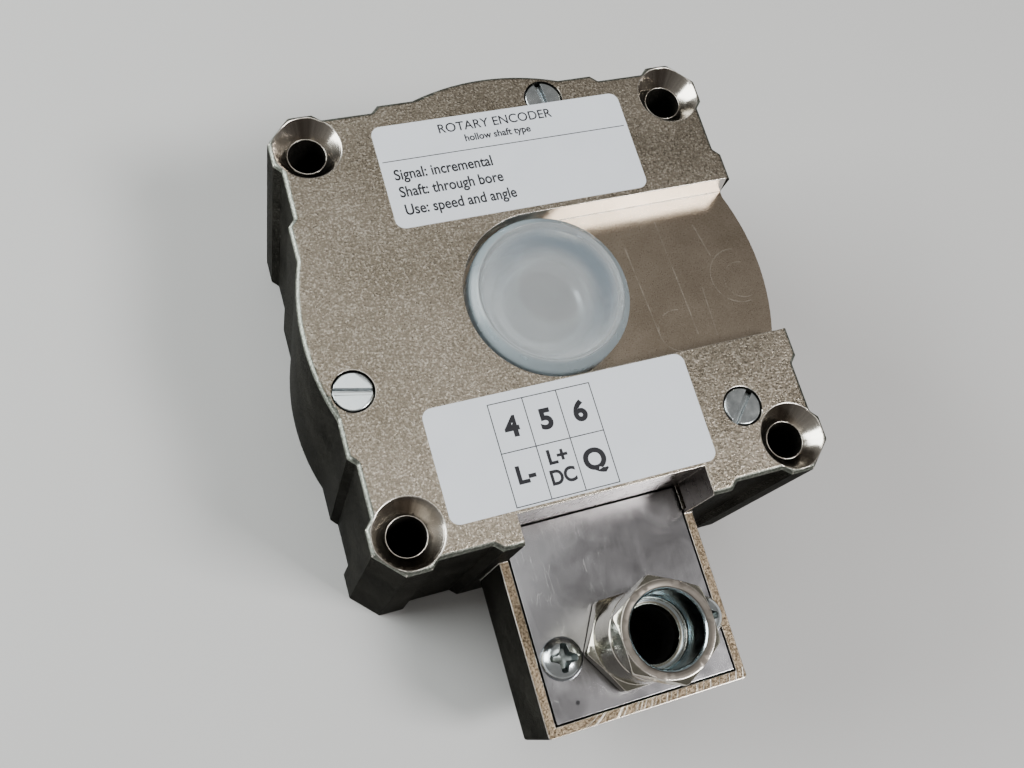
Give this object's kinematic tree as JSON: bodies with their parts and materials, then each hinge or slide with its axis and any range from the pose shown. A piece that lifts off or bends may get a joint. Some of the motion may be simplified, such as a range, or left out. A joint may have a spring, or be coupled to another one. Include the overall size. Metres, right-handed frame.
{
  "type": "rotary encoder",
  "caption": "Square cast hollow-shaft encoder with a capped bore, a code disc on ball bearings, corner mounting holes and a terminal box with a cable gland.",
  "frame": {"origin": "on the shaft axis, in the plane of the mounting face", "axes": "+Z along the shaft away from the mounting face, towards the capped face; -Y towards the terminal box; +X towards the open end of the slot in the capped face"},
  "size_m": [0.0916, 0.1202, 0.056],
  "materials": {
    "nickel_casting": "fine cast grain with a satin nickel-like surface",
    "machined_aluminium": "fine turned",
    "brushed_aluminium": "brushed, lightly scratched",
    "stainless_steel": "ground",
    "bearing_steel": "polished",
    "spring_steel": "dark, oiled",
    "black_steel": "blackened",
    "zinc_steel": "bluish zinc plating",
    "cage_brass": "machined",
    "clamp_brass": "tinned brass",
    "nickel_brass": "satin nickel plating",
    "black_rubber": "matt",
    "gasket_fibre": "matt",
    "disc_glass": "polished, with printed tracks",
    "mask_glass": "dark glass",
    "lamp_lens": "clear amber",
    "board_green": "solder mask",
    "black_plastic": "moulded",
    "capacitor_sleeve": "shrink sleeve",
    "terminal_plastic": "moulded",
    "wire_insulation": "extruded",
    "label_white": "satin printed film",
    "cap_plastic": "milky, slightly see-through"
  },
  "bodies": {
    "body": {"base_flange": "machined_aluminium", "block_screws": "zinc_steel", "board_capacitors": "capacitor_sleeve", "board_chips": "black_plastic", "board_screws": "zinc_steel", "board_standoffs": "zinc_steel", "bore_circlip": "spring_steel", "bore_spacer": "machined_aluminium", "bracket_screws": "zinc_steel", "circuit_board": "board_green", "connection_label": "label_white", "flange_oring": "black_rubber", "gland_body": "nickel_brass", "gland_gasket": "gasket_fibre", "gland_locknut": "nickel_brass", "gland_seal": "black_rubber", "housing": "nickel_casting", "lamp": "lamp_lens", "lamp_bracket": "machined_aluminium", "lead_wires": "wire_insulation", "lid_gasket": "black_rubber", "lid_screws": "zinc_steel", "lower_outer_race": "bearing_steel", "preload_spring": "spring_steel", "rating_label": "label_white", "sensor_block": "black_plastic", "sensor_mask": "mask_glass", "shaft_seal": "black_rubber", "terminal_block": "terminal_plastic", "terminal_box": "nickel_casting", "terminal_clamps": "clamp_brass", "terminal_lid": "brushed_aluminium", "terminal_screws": "zinc_steel", "tie_screws": "zinc_steel", "upper_outer_race": "bearing_steel", "wire_header": "black_plastic"},
    "rotor": {"hollow_shaft": "stainless_steel", "lower_inner_race": "bearing_steel", "upper_inner_race": "bearing_steel", "shaft_spacer": "machined_aluminium", "shaft_circlip": "spring_steel", "disc_hub": "machined_aluminium", "hub_grub_screws": "black_steel", "code_disc": "disc_glass", "disc_clamp_ring": "machined_aluminium", "disc_screws": "zinc_steel"},
    "lower_ball_ring": {"lower_balls": "bearing_steel", "lower_cage": "cage_brass"},
    "upper_ball_ring": {"upper_balls": "bearing_steel", "upper_cage": "cage_brass"},
    "cap": {"shaft_cap": "cap_plastic"},
    "gland_slider": {"gland_washer": "zinc_steel"},
    "gland_turner": {"gland_pressure_screw": "nickel_brass"}
  },
  "joints": [
    {"name": "shaft_spin", "type": "hinge", "parent": "body", "child": "rotor", "pos_m": [0, 0, 0], "axis": [0, 0, 1], "continuous": true},
    {"name": "lower_balls_roll", "type": "hinge", "parent": "body", "child": "lower_ball_ring", "pos_m": [0, 0, 0], "axis": [0, 0, 1], "continuous": true},
    {"name": "upper_balls_roll", "type": "hinge", "parent": "body", "child": "upper_ball_ring", "pos_m": [0, 0, 0], "axis": [0, 0, 1], "continuous": true},
    {"name": "cap_pull", "type": "slide", "parent": "body", "child": "cap", "axis": [0, 0, 1], "range_m": [0, 0.02]},
    {"name": "gland_travel", "type": "slide", "parent": "body", "child": "gland_slider", "axis": [0, 0, 1], "range_m": [0, 0.00282]},
    {"name": "gland_screw_turn", "type": "hinge", "parent": "gland_slider", "child": "gland_turner", "pos_m": [0, -0.0622, 0.0495], "axis": [0, 0, 1], "range_deg": [0, 720]}
  ],
  "couplings": [
    {"joint": "lower_balls_roll", "follows": "shaft_spin", "ratio": 0.43269},
    {"joint": "upper_balls_roll", "follows": "shaft_spin", "ratio": 0.43269},
    {"joint": "gland_travel", "follows": "gland_screw_turn", "m_per_rad": 0.00022441}
  ]
}
